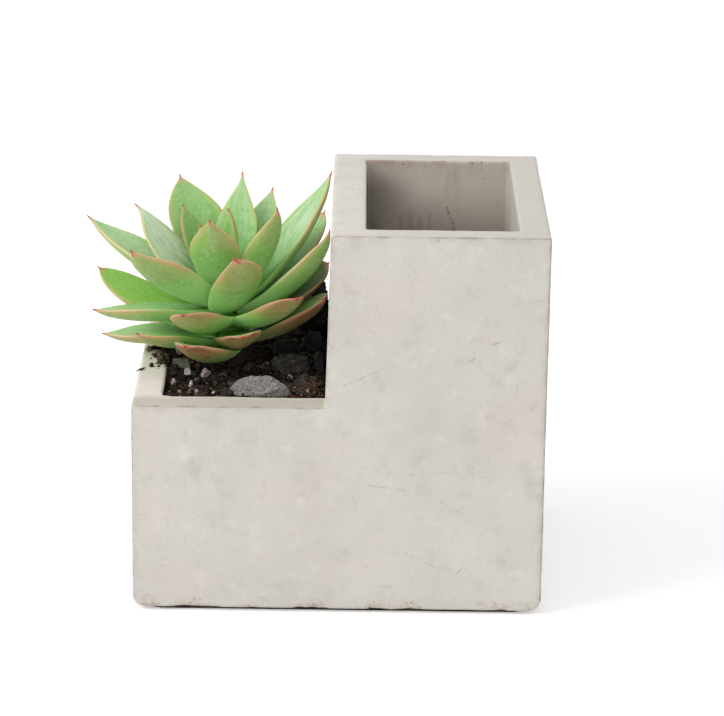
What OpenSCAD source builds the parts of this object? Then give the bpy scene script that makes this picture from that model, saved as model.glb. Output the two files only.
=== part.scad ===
// Planted concrete desk planter: a low block with a planted well beside a tall tower with a holder well.
// The origin is the centre of the pad's underside, +Z is up, the front faces -Y, the plant is towards -X.

/* [Casting] */
// Width of the casting, low block and tower together
body_w = 120; // [105:1:160]
// Depth of the casting, front to back
body_d = 95; // [85:1:130]
// Height of the tower
tower_h = 114; // [95:1:150]
// Height of the low block's rim
low_h = 62.5; // [50:0.5:75]
// Width of the low block, from its left side to the tower at the rim
low_w = 56; // [52:1:75]
// Draft of the tower's inner face in degrees, which narrows the tower upwards
tower_draft = 1.4; // [0:0.1:3]
// Radius of the casting's upright edges and of its top side edges
edge_r = 1.2; // [0.5:0.1:3]
// Radius of the casting's bottom side edges
bottom_r = 3.5; // [1:0.5:6]

/* [Plant well] */
// Wall of the plant well on the left
plant_wall_left = 9.2; // [6:0.2:12]
// Wall of the plant well at the front and at the back
plant_wall_front = 9.2; // [6:0.2:12]
// Floor under the plant well
plant_floor = 12; // [6:1:18]
// Radius of the plant well's upright corners
plant_corner_r = 1; // [0.4:0.1:4]

/* [Holder well] */
// Wall between the tower's inner face and the holder well, at the top
holder_wall_left = 10; // [7:0.2:13]
// Wall of the holder well on the right
holder_wall_right = 8.8; // [6:0.2:12]
// Wall of the holder well at the front and at the back
holder_wall_front = 7.8; // [5:0.2:12]
// Floor under the holder well
holder_floor = 12; // [6:1:20]
// Radius of the holder well's upright corners
holder_corner_r = 0.8; // [0.4:0.1:4]

/* [Base pad] */
// Thickness of the pad under the casting
pad_t = 1; // [0.5:0.25:3]
// Distance of the pad's edge from the casting's sides
pad_inset_side = 5; // [3:0.5:12]
// Distance of the pad's edge from the casting's front and back
pad_inset_front = 2; // [1:0.5:12]
// Radius of the pad's corners
pad_corner_r = 4; // [1:0.5:8]

/* [Soil] */
// Depth of the soil's surface below the low rim
soil_drop = 2; // [1:0.5:6]
// Depth of the gravel on the plant well's floor
gravel_t = 8; // [4:1:14]
// Gap between the fill and the walls of the plant well
fill_gap = 0.2; // [0.1:0.05:0.5]
// Radius of the root ball
root_r = 9; // [6:0.5:11]
// Depth of the root ball
root_depth = 22; // [12:1:26]
// Gap between the root ball and the soil around it
root_gap = 0.2; // [0.1:0.05:0.5]

/* [Stones] */
// Pale stone at the front: width, depth and height above the soil
pale_stone_size = [18, 10, 6]; // [3:0.5:20]
// Pale stone's middle: distance from the tower's face and from the well's front wall
pale_stone_at = [19, 6.5]; // [6:0.5:30]
// Wide slate chip: width, depth and height above the soil
wide_chip_size = [12, 8, 4]; // [3:0.5:16]
// Wide slate chip's middle: distance from the tower's face and from the well's front wall
wide_chip_at = [11, 33]; // [8:0.5:40]
// Upright slate chip by the tower: width, depth and height above the soil
upright_chip_size = [3, 7, 5]; // [2:0.5:10]
// Upright slate chip's middle: distance from the tower's face and from the well's front wall
upright_chip_at = [2.5, 34]; // [2:0.5:40]
// Dark slate chip behind: width, depth and height above the soil
dark_chip_size = [8, 7, 5]; // [2:0.5:10]
// Dark slate chip's middle: distance from the tower's face and from the well's front wall
dark_chip_at = [13, 47]; // [6:0.5:55]
// Slate chip in the corner behind: width, depth and height above the soil
corner_chip_size = [7, 8, 6]; // [2:0.5:10]
// Corner slate chip's middle: distance from the tower's face and from the well's front wall
corner_chip_at = [5, 52]; // [4:0.5:60]
// Tall slate chip in the back corner: width, depth and height above the soil
tall_chip_size = [9, 8, 17]; // [3:0.5:18]
// Tall slate chip's middle: distance from the tower's face and from the well's back wall
tall_chip_at = [5.5, 6.6]; // [5:0.1:20]
// Lump of bark at the front: width, depth and height above the soil
bark_size = [8, 10, 5.5]; // [3:0.5:10]
// Bark lump's middle: distance from the tower's face and from the well's front wall
bark_at = [6, 10]; // [5:0.5:30]
// Flat chip on the left: width, depth and height above the soil
flat_chip_size = [6, 5, 2.5]; // [2:0.5:10]
// Flat chip's middle: distance from the well's left wall and from its front wall
flat_chip_at = [3.2, 30]; // [3:0.5:40]

/* [Plant] */
// Length of the stem above the soil
stem_h = 30; // [24:0.5:36]
// Radius of the stem at the soil
stem_r_low = 5; // [4:0.25:6]
// Radius of the stem at its tip
stem_r_top = 1.6; // [1:0.1:2.5]
// Lean of the stem away from the tower, in degrees
stem_lean = 12; // [0:1:15]
// Length of a full-size leaf
leaf_l = 52; // [44:1:56]
// Width of the widest leaf
leaf_w = 17; // [13:0.5:18]
// Thickness of a leaf at its thickest
leaf_t = 4; // [2.4:0.1:4.4]
// Gap between a leaf's root and the stem
leaf_gap = 0.3; // [0.2:0.05:0.6]
// Distance between the nearest leaf tip and the tower
leaf_clear = 0.4; // [0.4:0.1:3]

/* [Hidden] */
$fn = 48;
// Extra height of a cut past the face it opens
cut_past = 1;

// Casting, with its underside on the pad
left_x = -body_w / 2;
right_x = body_w / 2;
rim_z = pad_t + low_h;
top_z = pad_t + tower_h;
tower_x = left_x + low_w;
function tower_face_x(z) = tower_x + (z - rim_z) * tan(tower_draft);
tower_top_x = tower_face_x(top_z);

// Wells
plant_x0 = left_x + plant_wall_left;
plant_w = tower_x - plant_x0;
plant_d = body_d - 2 * plant_wall_front;
plant_floor_z = pad_t + plant_floor;
holder_x0 = tower_top_x + holder_wall_left;
holder_w = right_x - holder_wall_right - holder_x0;
holder_d = body_d - 2 * holder_wall_front;
holder_floor_z = pad_t + holder_floor;

// Fill of the plant well
gravel_z = plant_floor_z + gravel_t;
soil_z = rim_z - soil_drop;

// Leaves, from the lowest ring up to the heart, one row each: heading in degrees (0 faces the tower,
// 90 the back), lift of the chord in degrees, length as a share of the full length, width as a share
// of the widest, seat as a share of the stem, half turn of the upward curve and roll, both in degrees.
leaf_rows = [
    [247, 16, 0.60, 0.82, 0.20, 18, 0],
    [212, 12, 0.55, 0.69, 0.27, 7, 8],
    [173, -3, 0.71, 0.70, 0.30, 1, 0],
    [277, 14, 0.50, 0.82, 0.36, 18, 0],
    [335, 28, 0.58, 0.78, 0.30, 9, 18],
    [70, 7, 0.50, 0.80, 0.20, 6, 0],
    [104, 4, 0.72, 0.77, 0.31, 6, 0],
    [138, 5, 0.62, 0.77, 0.18, 5, 0],
    [246, 17, 0.62, 0.82, 0.50, 20, 6],
    [190, 2, 0.71, 0.67, 0.575, 4, 8],
    [311, 24, 0.60, 0.77, 0.50, 18, -4],
    [10, 31, 0.58, 0.80, 0.43, 12, 0],
    [42, 38, 0.84, 0.82, 0.48, 8, 0],
    [74, 21, 0.78, 0.82, 0.40, 8, 0],
    [104, 26, 0.81, 0.82, 0.50, 8, 0],
    [131, 14, 0.81, 0.79, 0.375, 6, 0],
    [167, 21.5, 0.76, 0.61, 0.385, 17, -19],
    [220, 33, 0.71, 0.94, 0.67, 8, 18],
    [284, 45, 0.56, 0.95, 0.63, 18, 10],
    [345, 44, 0.74, 0.72, 0.57, 28, -14],
    [25, 50, 0.92, 0.88, 0.65, 14, 0],
    [68, 48, 0.79, 0.77, 0.58, 8, 0],
    [156, 26, 0.96, 0.74, 0.63, 4, 0],
    [116, 48, 0.79, 1.00, 0.69, 8, 0],
    [80, 53, 0.72, 0.76, 0.78, 8, 0],
    [165, 49, 0.68, 0.56, 0.73, 20, -8],
    [330, 62, 0.65, 0.80, 0.73, 12, -6],
    [257, 64, 0.54, 0.90, 0.80, 14, 0],
    [144, 62, 0.48, 0.66, 0.85, 8, 0],
    [80, 76, 0.39, 0.42, 0.88, 6, 0],
    [320, 74, 0.20, 0.40, 0.88, 6, 0],
    [214, 77, 0.32, 0.28, 0.95, 6, 0],
];

function heading(row) = row[0];
function lift(row) = row[1];
function chord(row) = leaf_l * row[2];
function half_width(row) = leaf_w * row[3] / 2;
function seat(row) = row[4];
function bend(row) = row[5];
function roll(row) = row[6];

// Shape that all leaves share: stations along the leaf, points round a section, where it is widest,
// its root's share of the full width and thickness, how pointed it is, how far its margins turn up,
// and how much of the thickness lies above the margins.
leaf_stations = [0, 0.08, 0.18, 0.3, 0.43, 0.56, 0.68, 0.79, 0.88, 0.95];
leaf_points = 10;
leaf_widest_share = 0.56;
leaf_root_width_share = 0.24;
leaf_root_thick_share = 0.6;
leaf_point_power = 1.25;
leaf_cup_share = 0.2;
leaf_upper_share = 0.3;

// How a stone's block is broken: turn and tilt of the breaks, and the block's share left along each axis
stone_turn = 20;
stone_tilt = 12;
stone_side_shares = [1, 1.2, 2.5];
stone_end_shares = [1, 1.5, 2.4];

function leaf_name(i) = str("leaf_", i < 9 ? "0" : "", i + 1);
leaf_names = [for (i = [0:len(leaf_rows) - 1]) leaf_name(i)];

// Share of the full half width, or of the full thickness, at u from root (0) to tip (1)
function swell(u, root, point) =
    u < leaf_widest_share
        ? root + (1 - root) * sin(90 * u / leaf_widest_share)
        : pow(max(0, cos(90 * (u - leaf_widest_share) / (1 - leaf_widest_share))), point);

function outward(row) = [cos(heading(row)), sin(heading(row)), 0];
function sideways(row) = [-sin(heading(row)), cos(heading(row)), 0];

// Axis of the leaning stem, and its radius at a share of its length
stem_axis = [-sin(stem_lean), 0, cos(stem_lean)];
function stem_r(share) = stem_r_low + (stem_r_top - stem_r_low) * share;

// Slope of the leaf at u, and its middle there, on an arc whose chord has the row's length and lift.
// The leaf starts beside the stem, and is placed from the middle of the stem's foot.
function slope(row, u) = lift(row) + bend(row) * (2 * u - 1);
function leaf_root(row) =
    let (
        root_half = leaf_root_width_share * half_width(row),
        inner = leaf_t * leaf_root_thick_share * leaf_upper_share + leaf_cup_share * root_half,
        out = stem_r(seat(row)) + leaf_gap + inner * max(0, sin(slope(row, 0)))
    )
    stem_axis * stem_h * seat(row) + outward(row) * out;
function leaf_mid(row, u) =
    let (
        start = slope(row, 0),
        here = slope(row, u),
        r = chord(row) / (2 * sin(bend(row)))
    )
    leaf_root(row) + outward(row) * r * (sin(here) - sin(start)) + [0, 0, r * (cos(start) - cos(here))];

// The stem stands as near the tower as the leaves' tips allow
stem_x = min([
    for (row = leaf_rows)
        let (tip = leaf_mid(row, 1))
        tower_face_x(soil_z + tip.z) - tip.x
]) - leaf_clear;
stem_foot = [stem_x, 0, soil_z];

// One ring of points round the leaf at u
function leaf_ring(row, u) =
    let (
        half = half_width(row) * swell(u, leaf_root_width_share, leaf_point_power),
        thick = leaf_t * swell(u, leaf_root_thick_share, leaf_point_power / 2),
        square = [0, 0, cos(slope(row, u))] - sin(slope(row, u)) * outward(row),
        across = sideways(row) * cos(roll(row)) + square * sin(roll(row)),
        up = square * cos(roll(row)) - sideways(row) * sin(roll(row))
    )
    [
        for (k = [0:leaf_points - 1])
            let (
                turn = 360 * k / leaf_points,
                share = sin(turn) > 0 ? leaf_upper_share : 1 - leaf_upper_share,
                height = thick * share * sin(turn) + leaf_cup_share * half * pow(cos(turn), 2)
            )
            leaf_mid(row, u) + across * half * cos(turn) + up * height
    ];

// Polygon with each convex corner rounded to its own radius, counter-clockwise
module rounded_polygon(corners, radii) {
    n = len(corners);
    inset = [
        for (i = [0:n - 1])
            let (
                to_last = corners[(i + n - 1) % n] - corners[i],
                to_next = corners[(i + 1) % n] - corners[i],
                a = to_last / norm(to_last),
                b = to_next / norm(to_next),
                half = acos(a * b) / 2
            )
            [a, b, radii[i] / tan(half), radii[i] / sin(half)]
    ];
    polygon([
        for (i = [0:n - 1])
            each radii[i] > 0
                ? [corners[i] + inset[i][0] * inset[i][2], corners[i] + inset[i][1] * inset[i][2]]
                : [corners[i]]
    ]);
    for (i = [0:n - 1]) {
        if (radii[i] > 0) {
            middle = inset[i][0] + inset[i][1];
            translate(corners[i] + middle / norm(middle) * inset[i][3])
                circle(radii[i]);
        }
    }
}

module rounded_rect(w, d, r) {
    rounded_polygon([[0, 0], [w, 0], [w, d], [0, d]], [r, r, r, r]);
}

// Outline of the plant well, drawn in by a gap
module plant_well_outline(gap) {
    translate([plant_x0 + gap, -plant_d / 2 + gap])
        rounded_rect(plant_w - 2 * gap, plant_d - 2 * gap, plant_corner_r);
}

module planter_body() {
    color("lightgray")
        difference() {
            intersection() {
                translate([0, body_d / 2, 0])
                    rotate([90, 0, 0])
                        linear_extrude(body_d)
                            rounded_polygon(
                                [
                                    [left_x, pad_t], [right_x, pad_t], [right_x, top_z],
                                    [tower_top_x, top_z], [tower_x, rim_z], [left_x, rim_z]
                                ],
                                [bottom_r, bottom_r, edge_r, edge_r, 0, edge_r]
                            );
                translate([left_x, -body_d / 2, 0])
                    linear_extrude(top_z + cut_past)
                        rounded_rect(body_w, body_d, edge_r);
            }
            translate([0, 0, plant_floor_z])
                linear_extrude(low_h)
                    plant_well_outline(0);
            translate([holder_x0, -holder_d / 2, holder_floor_z])
                linear_extrude(tower_h)
                    rounded_rect(holder_w, holder_d, holder_corner_r);
        }
}

module base_pad() {
    w = body_w - 2 * pad_inset_side;
    d = body_d - 2 * pad_inset_front;
    color("dimgray")
        translate([-w / 2, -d / 2, 0])
            linear_extrude(pad_t)
                rounded_rect(w, d, pad_corner_r);
}

module drainage_gravel() {
    color("slategray")
        translate([0, 0, plant_floor_z])
            linear_extrude(gravel_t)
                plant_well_outline(fill_gap);
}

module potting_soil() {
    color("saddlebrown")
        difference() {
            translate([0, 0, gravel_z])
                linear_extrude(soil_z - gravel_z)
                    plant_well_outline(fill_gap);
            translate(stem_foot - [0, 0, root_depth])
                cylinder(h = root_depth + cut_past, r = root_r + root_gap);
        }
}

module root_ball() {
    color("sienna")
        translate(stem_foot - [0, 0, root_depth])
            cylinder(h = root_depth, r = root_r);
}

// Leaning stem, drawn on below the soil and cut level with it
module plant_stem() {
    below = stem_r_low;
    color("olivedrab")
        translate(stem_foot)
            intersection() {
                rotate([0, -stem_lean, 0])
                    translate([0, 0, -below])
                        cylinder(h = stem_h + below, r1 = stem_r(-below / stem_h), r2 = stem_r_top);
                translate([-stem_h, -stem_h, 0])
                    cube(2 * stem_h);
            }
}

// Angular stone that stands on the soil: a block whose corners and upper edges are broken off
module stone(size) {
    intersection() {
        translate([-size.x / 2, -size.y / 2, 0])
            cube(size);
        rotate([0, stone_tilt, stone_turn])
            cube([for (i = [0:2]) size[i] * stone_side_shares[i]], center = true);
        rotate([stone_tilt, 0, -2 * stone_turn])
            cube([for (i = [0:2]) size[i] * stone_end_shares[i]], center = true);
    }
}

// Place on the soil, from the well's right or left wall and from its front wall
module on_soil_right(at) {
    translate([tower_x - at.x, at.y - plant_d / 2, soil_z])
        children();
}

module on_soil_left(at) {
    translate([plant_x0 + at.x, at.y - plant_d / 2, soil_z])
        children();
}

// Place on the soil, from the well's right wall and from its back wall
module on_soil_back(at) {
    translate([tower_x - at.x, plant_d / 2 - at.y, soil_z])
        children();
}

module pale_stone() {
    color("darkgray")
        on_soil_right(pale_stone_at)
            stone(pale_stone_size);
}

module wide_slate_chip() {
    color("gray")
        on_soil_right(wide_chip_at)
            stone(wide_chip_size);
}

module upright_slate_chip() {
    color("dimgray")
        on_soil_right(upright_chip_at)
            stone(upright_chip_size);
}

module dark_slate_chip() {
    color("dimgray")
        on_soil_right(dark_chip_at)
            stone(dark_chip_size);
}

module corner_slate_chip() {
    color("dimgray")
        on_soil_right(corner_chip_at)
            stone(corner_chip_size);
}

module tall_slate_chip() {
    color("dimgray")
        on_soil_back(tall_chip_at)
            stone(tall_chip_size);
}

module bark_lump() {
    color("saddlebrown")
        on_soil_right(bark_at)
            stone(bark_size);
}

module flat_chip() {
    color("gray")
        on_soil_left(flat_chip_at)
            stone(flat_chip_size);
}

// Leaf as rings of points closed by a flat root and a single tip
module leaf(i) {
    row = leaf_rows[i];
    rings = len(leaf_stations);
    n = leaf_points;
    tip = rings * n;
    points = concat(
        [for (u = leaf_stations) each leaf_ring(row, u)],
        [leaf_mid(row, 1)]
    );
    sides = [
        for (j = [0:rings - 2], k = [0:n - 1])
            let (a = j * n + k, b = j * n + (k + 1) % n)
            each [[a, b + n, b], [a, a + n, b + n]]
    ];
    root = [for (k = [1:n - 2]) [0, k, k + 1]];
    point = [for (k = [0:n - 1]) [tip, tip - n + (k + 1) % n, tip - n + k]];
    color("yellowgreen")
        translate(stem_foot)
            polyhedron(points, concat(sides, root, point));
}

planter_body();
base_pad();
drainage_gravel();
potting_soil();
root_ball();
plant_stem();
pale_stone();
wide_slate_chip();
upright_slate_chip();
dark_slate_chip();
corner_slate_chip();
tall_slate_chip();
bark_lump();
flat_chip();
for (i = [0:len(leaf_rows) - 1]) {
    leaf(i);
}
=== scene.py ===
# Planted concrete desk planter: plant to the left, tower to the right, front to -Y. Sizes in mm, times mm.
import math
from functools import partial

import bmesh
import bpy
import numpy as np
from mathutils import Matrix, Vector, noise


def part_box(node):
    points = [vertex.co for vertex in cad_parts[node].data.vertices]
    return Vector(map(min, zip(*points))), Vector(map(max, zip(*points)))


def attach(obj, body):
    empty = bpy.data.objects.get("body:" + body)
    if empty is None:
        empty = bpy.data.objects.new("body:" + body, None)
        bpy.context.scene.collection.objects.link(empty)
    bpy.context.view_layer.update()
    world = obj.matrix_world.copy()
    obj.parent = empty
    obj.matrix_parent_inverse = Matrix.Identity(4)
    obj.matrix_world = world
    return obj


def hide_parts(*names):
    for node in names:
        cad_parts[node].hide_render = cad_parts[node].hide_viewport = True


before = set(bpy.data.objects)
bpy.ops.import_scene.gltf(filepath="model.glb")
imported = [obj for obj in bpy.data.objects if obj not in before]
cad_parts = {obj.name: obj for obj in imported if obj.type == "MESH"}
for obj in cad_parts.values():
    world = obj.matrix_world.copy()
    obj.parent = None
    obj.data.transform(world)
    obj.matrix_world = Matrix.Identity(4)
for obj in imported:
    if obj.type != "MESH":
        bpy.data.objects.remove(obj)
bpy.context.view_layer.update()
scene = bpy.context.scene
scene.view_settings.view_transform = "Standard"
mm = 0.001
noise.seed_set(3)  # the same wander of leaves and stones each run


def linear(hexColour):
    rgb = [int(hexColour[i:i + 2], 16) / 255 for i in (1, 3, 5)]
    return tuple(c / 12.92 if c <= 0.04045 else ((c + 0.055) / 1.055) ** 2.4 for c in rgb) + (1.0,)


# share of the way from one value to another, kept to 0 and 1
def between(value, start, full):
    return np.clip((value - start) / (full - start), 0, 1)


# one node of a kind, with its operation if it has one, its settings and its links
# settings: sockets by name or number, properties, ramp stops, a hex colour mixed over, a pattern's grain
# in mm, or a range, plain or smooth: where it starts, where it is full, least, most
def addNode(tree, kind, settings=None, links=None):
    kind, *operation = kind.split()
    node = tree.nodes.new("ShaderNode" + kind)
    if operation:
        node.operation = operation[0]
    for key, value in (settings or {}).items():
        if key == "ramp":
            stops = node.color_ramp.elements
            while len(stops) < len(value):
                stops.new(0.5)
            for stop, (place, colour) in zip(stops, value):
                stop.position = place
                stop.color = linear(colour)
        elif key == "over":
            node.data_type = "RGBA"
            node.inputs[7].default_value = linear(value)
        elif key == "grain":
            node.inputs["Scale"].default_value = 1 / (value * mm)
        elif key in ("range", "smooth"):
            node.interpolation_type = "SMOOTHSTEP" if key == "smooth" else "LINEAR"
            for socket, number in zip(("From Min", "From Max", "To Min", "To Max"), value):
                node.inputs[socket].default_value = number
        elif isinstance(key, int) or key in node.inputs:
            node.inputs[key].default_value = value
        else:
            setattr(node, key, value)
    for key, source in (links or {}).items():
        output = next(o for o in getattr(source, "outputs", [source]) if o.enabled)
        tree.links.new(output, node.inputs[key])
    return node


# a material, a way to add its nodes, and the place on the part that its patterns read
def newMaterial(name):
    material = bpy.data.materials.new(name)
    material.use_nodes = True
    material.node_tree.nodes.clear()
    add = partial(addNode, material.node_tree)
    return material, add, add("TexCoord").outputs["Object"]


# the surface that a material ends in: colour, roughness that follows a pattern, relief (strength, mm)
def addSurface(add, settings, colour, pattern, roughness, height, relief):
    rough = add("MapRange", {"range": (0.3, 0.7, *roughness)}, {"Value": pattern})
    bump = add("Bump", {"Strength": relief[0], "Distance": relief[1] * mm}, {"Height": height})
    shader = add("BsdfPrincipled", settings, {"Base Color": colour, "Roughness": rough, "Normal": bump})
    add("OutputMaterial", links={"Surface": shader})


# coats of colour, each where a noise of its grain in mm lies between two values, all kept to a mask:
# (colour, grain, noise where it starts, noise where it is full, most, least)
def addCoats(add, place, under, coats, mask=None, stretch=(1, 1, 1)):
    for colour, grain, start, full, most, least in coats:
        shift = (grain * 7.3 + start) % 1  # no two coats share a pattern
        moved = add("Mapping", {"Location": (shift, -shift * 0.7, shift * 0.4), "Scale": stretch},
                    {"Vector": place})
        pattern = add("TexNoise", {"grain": grain, "Detail": 4, "Roughness": 0.62}, {"Vector": moved})
        share = add("MapRange", {"smooth": (start, full, least, most)}, {"Value": pattern})
        if mask:
            share = add("Math MULTIPLY", links={0: share, 1: mask})
        under = add("Mix", {"over": colour}, {0: share, 6: under})
    return under


# a mesh piece from points in mm, riding on the part's one body
def newPiece(name, points, faces, material, smooth=True, values=None, replaces=()):
    mesh = bpy.data.meshes.new(name)
    mesh.from_pydata((np.asarray(points, float) * mm).tolist(), [], faces)
    mesh.polygons.foreach_set("use_smooth", [smooth] * len(mesh.polygons))
    for key, numbers in (values or {}).items():
        layer = mesh.attributes.new(key, "FLOAT", "POINT")
        layer.data.foreach_set("value", np.asarray(numbers, np.float32))
    mesh.materials.append(material)
    mesh.update()
    piece = bpy.data.objects.new(name, mesh)
    scene.collection.objects.link(piece)
    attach(piece, "root")
    if replaces:
        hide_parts(*replaces)


# quads between rings of n points each
def ringFaces(rings, n):
    return [(j * n + k, j * n + (k + 1) % n, (j + 1) * n + (k + 1) % n, (j + 1) * n + k)
            for j in range(rings - 1) for k in range(n)]


# camera

view = {
    "lens": 162.13, "sensor": 36, "nearest": 0.05, "distance": 985.0, "pitch": 17.854, "yaw": -0.023,
    "roll": 0.76, "target": (6.527, 0, 63.44),
}


def makeCamera():
    yaw, pitch, roll = (math.radians(view[k]) for k in ("yaw", "pitch", "roll"))
    back = Vector((math.sin(yaw) * math.cos(pitch), -math.cos(yaw) * math.cos(pitch), math.sin(pitch)))
    right = (-back).cross(Vector((0, 0, 1))).normalized()
    up = right.cross(-back).normalized()
    across = right * math.cos(roll) + up * math.sin(roll)
    upright = up * math.cos(roll) - right * math.sin(roll)
    place = (Vector(view["target"]) + back * view["distance"]) * mm
    data = bpy.data.cameras.new("camera")
    data.lens = view["lens"]
    data.sensor_width = view["sensor"]
    data.sensor_fit = "HORIZONTAL"
    data.clip_start = view["nearest"]
    camera = bpy.data.objects.new("camera", data)
    camera.matrix_world = Matrix.Translation(place) @ Matrix((across, upright, back)).transposed().to_4x4()
    scene.collection.objects.link(camera)
    scene.camera = camera


makeCamera()
print("camera set")

# light and floor: a broad white room with a soft lamp from the upper left and a weak one in front

studio = {  # places and sizes in metres
    "ambient": 0.78, "floorGlow": 0.30, "floorSide": 6.0, "paper": "#f0efef", "aim": (0, 0, 0.06),
    "lamps": [
        {"name": "windowLamp", "place": (-1.05, -0.45, 0.95), "size": 0.8, "power": 9.0},
        {"name": "frontLamp", "place": (0.25, -1.6, 0.5), "size": 1.2, "power": 1.2},
    ],
}


def makeStudio():
    for lamp in studio["lamps"]:
        data = bpy.data.lights.new(lamp["name"], "AREA")
        data.size = lamp["size"]
        data.energy = lamp["power"]
        light = bpy.data.objects.new(lamp["name"], data)
        light.location = lamp["place"]
        aim = Vector(studio["aim"]) - light.location
        light.rotation_euler = aim.to_track_quat("-Z", "Y").to_euler()
        scene.collection.objects.link(light)
    world = bpy.data.worlds.new("studioWhite")
    scene.world = world
    paper = bpy.data.materials.new("whitePaperSweep")  # matt white paper: glows a little, keeps the shadow
    adders, seen = [], []
    for owner in (world, paper):  # what is seen straight, mirrored or through a thing
        owner.use_nodes = True
        owner.node_tree.nodes.clear()
        add = partial(addNode, owner.node_tree)
        path = add("LightPath").outputs
        either = add("Math MAXIMUM", links={0: path["Is Camera Ray"], 1: path["Is Glossy Ray"]})
        seen.append(add("Math MAXIMUM", links={0: either, 1: path["Is Transmission Ray"]}))
        adders.append(add)
    add, white = adders[0], (1, 1, 1, 1)
    strength = add("MapRange", {"range": (0, 1, studio["ambient"], 1)}, {"Value": seen[0]})
    sky = add("Background", {"Color": white}, {"Strength": strength})
    add("OutputWorld", links={"Surface": sky})
    add = adders[1]
    glow = add("Math MULTIPLY", {1: studio["floorGlow"]}, {0: seen[1]})
    matt = add("BsdfDiffuse", {"Color": linear(studio["paper"])})
    light = add("Emission", {"Color": white}, {"Strength": glow})
    both = add("AddShader", links={0: matt, 1: light})
    add("OutputMaterial", links={"Surface": both})
    side = studio["floorSide"]
    corners = [(-side, -side, 0), (side, -side, 0), (side, side, 0), (-side, side, 0)]
    mesh = bpy.data.meshes.new("floor")
    mesh.from_pydata(corners, [], [(0, 1, 2, 3)])
    mesh.materials.append(paper)
    floor = bpy.data.objects.new("floor", mesh)
    scene.collection.objects.link(floor)


makeStudio()
print("light and floor set")

# concrete casting

casting = {
    "left": -60.0, "right": 60.0, "deep": 47.5, "under": 1.0, "rim": 63.5, "top": 115.0,
    "tower": -4.0, "draft": 1.4, "plantLeft": -51.6, "plantDeep": 38.3, "floor": 13.0,
    "holderLeft": 7.26, "holderRight": 51.2, "holderDeep": 39.7,
    "edgeRound": 1.0, "frontRound": 0.8, "bottomRound": 3.6, "rimRound": 0.7,
    "plantRound": 3.2, "holderRound": 1.0,
    # steps of the grid, and how often its points are drawn onto the surface
    "finest": 0.3, "coarsest": 3.0, "growth": 1.3, "turns": 8,
    # how deep waves, rubbed edges and the chipped foot go, how far they reach, and the sizes of their noise
    "wave": 0.12, "edgeWear": 0.24, "bottomChip": 0.55, "wearReach": 0.9, "chipReach": 1.3,
    "waveSize": 38, "chipSize": 5.5, "crumbSize": 1.6,
    # where tones start and are full: y on the low rim, x on the tower's, depths below the rims
    "frontRim": (-36, -42), "towerRim": (3, 15), "hollow": (0, 3), "shadedWall": (0, 9),
    "beneath": (10, 28), "soiled": (0.5, 1.3),
    # how far other tones fade out
    "beside": 16, "leftRim": 12, "lipStain": 2.5, "chipped": 2.2,
}


# the tower's planted side, which leans back by the draft in degrees
def towerFace(z):
    slope = math.tan(math.radians(casting["draft"]))
    return casting["tower"] + np.clip(z - casting["rim"], 0, None) * slope


# the larger of two depths, with the edge between them rounded
def roundedMax(a, b, r):
    return np.minimum(np.maximum(a, b), -r) + np.hypot(np.maximum(a + r, 0), np.maximum(b + r, 0))


# depth below the casting's surface, as a negative number, with every edge rounded
def castingDepth(p, sharp=False):
    c = casting
    x, y, z = p[:, 0], p[:, 1], p[:, 2]
    soft = 1e-6 if sharp else 1.0
    edge, front, bottom, rim = (c[k + "Round"] * soft for k in ("edge", "front", "bottom", "rim"))
    plant, holder = c["plantRound"] * soft, c["holderRound"] * soft
    plantWell = roundedMax(c["plantLeft"] - x, np.abs(y) - c["plantDeep"], plant)
    plantWell = np.maximum(plantWell, c["floor"] - z)
    low = roundedMax(c["left"] - x, z - c["rim"], edge)
    low = roundedMax(low, -plantWell, rim)
    face = np.full_like(x, c["tower"]) if sharp else towerFace(z)
    tower = roundedMax(face - x, z - c["top"], edge)
    body = roundedMax(np.minimum(low, tower), x - c["right"], edge)
    body = roundedMax(body, c["under"] - z, bottom)
    body = roundedMax(body, np.abs(y) - c["deep"], front)
    holderWell = np.maximum(c["holderLeft"] - x, x - c["holderRight"])
    holderWell = np.maximum(roundedMax(holderWell, np.abs(y) - c["holderDeep"], holder), c["floor"] - z)
    return roundedMax(body, -holderWell, rim)


# grid lines that crowd towards each of the given planes
def crowdedLines(planes):
    lines = [planes[0]]
    for a, b in zip(planes, planes[1:]):
        steps, reach, step = [0.0], 0.0, casting["finest"]
        while reach < (b - a) / 2:
            reach += step
            steps.append(reach)
            step = min(step * casting["growth"], casting["coarsest"])
        steps = np.array(steps) * (b - a) / 2 / reach
        lines += list(a + steps[1:]) + list(b - steps[::-1][1:])
    return np.array(lines)


def distanceToEdges(p):
    c = casting
    left, right, under, rim, top = (c[k] for k in ("left", "right", "under", "rim", "top"))
    towerTop = float(towerFace(np.array([top]))[0])
    outline = [(left, under), (right, under), (right, top), (towerTop, top), (c["tower"], rim), (left, rim)]
    edges = []
    for y in (-c["deep"], c["deep"]):
        edges += [((a[0], y, a[1]), (b[0], y, b[1])) for a, b in zip(outline, outline[1:] + outline[:1])]
    edges += [((x, -c["deep"], z), (x, c["deep"], z)) for x, z in outline if (x, z) != (c["tower"], rim)]
    for x0, x1, y, z in ((c["holderLeft"], c["holderRight"], c["holderDeep"], top),
                         (c["plantLeft"], c["tower"], c["plantDeep"], rim)):
        edges += [((x0, -y, z), (x0, y, z)), ((x0, -y, z), (x1, -y, z)), ((x0, y, z), (x1, y, z))]
    edges.append(((c["holderRight"], -c["holderDeep"], top), (c["holderRight"], c["holderDeep"], top)))
    nearest = np.full(len(p), 1e9)
    for a, b in edges:
        a, b = np.array(a), np.array(b)
        share = np.clip((p - a) @ (b - a) / ((b - a) @ (b - a)), 0, 1)
        nearest = np.minimum(nearest, np.linalg.norm(p - a - share[:, None] * (b - a), axis=1))
    return nearest


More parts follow.
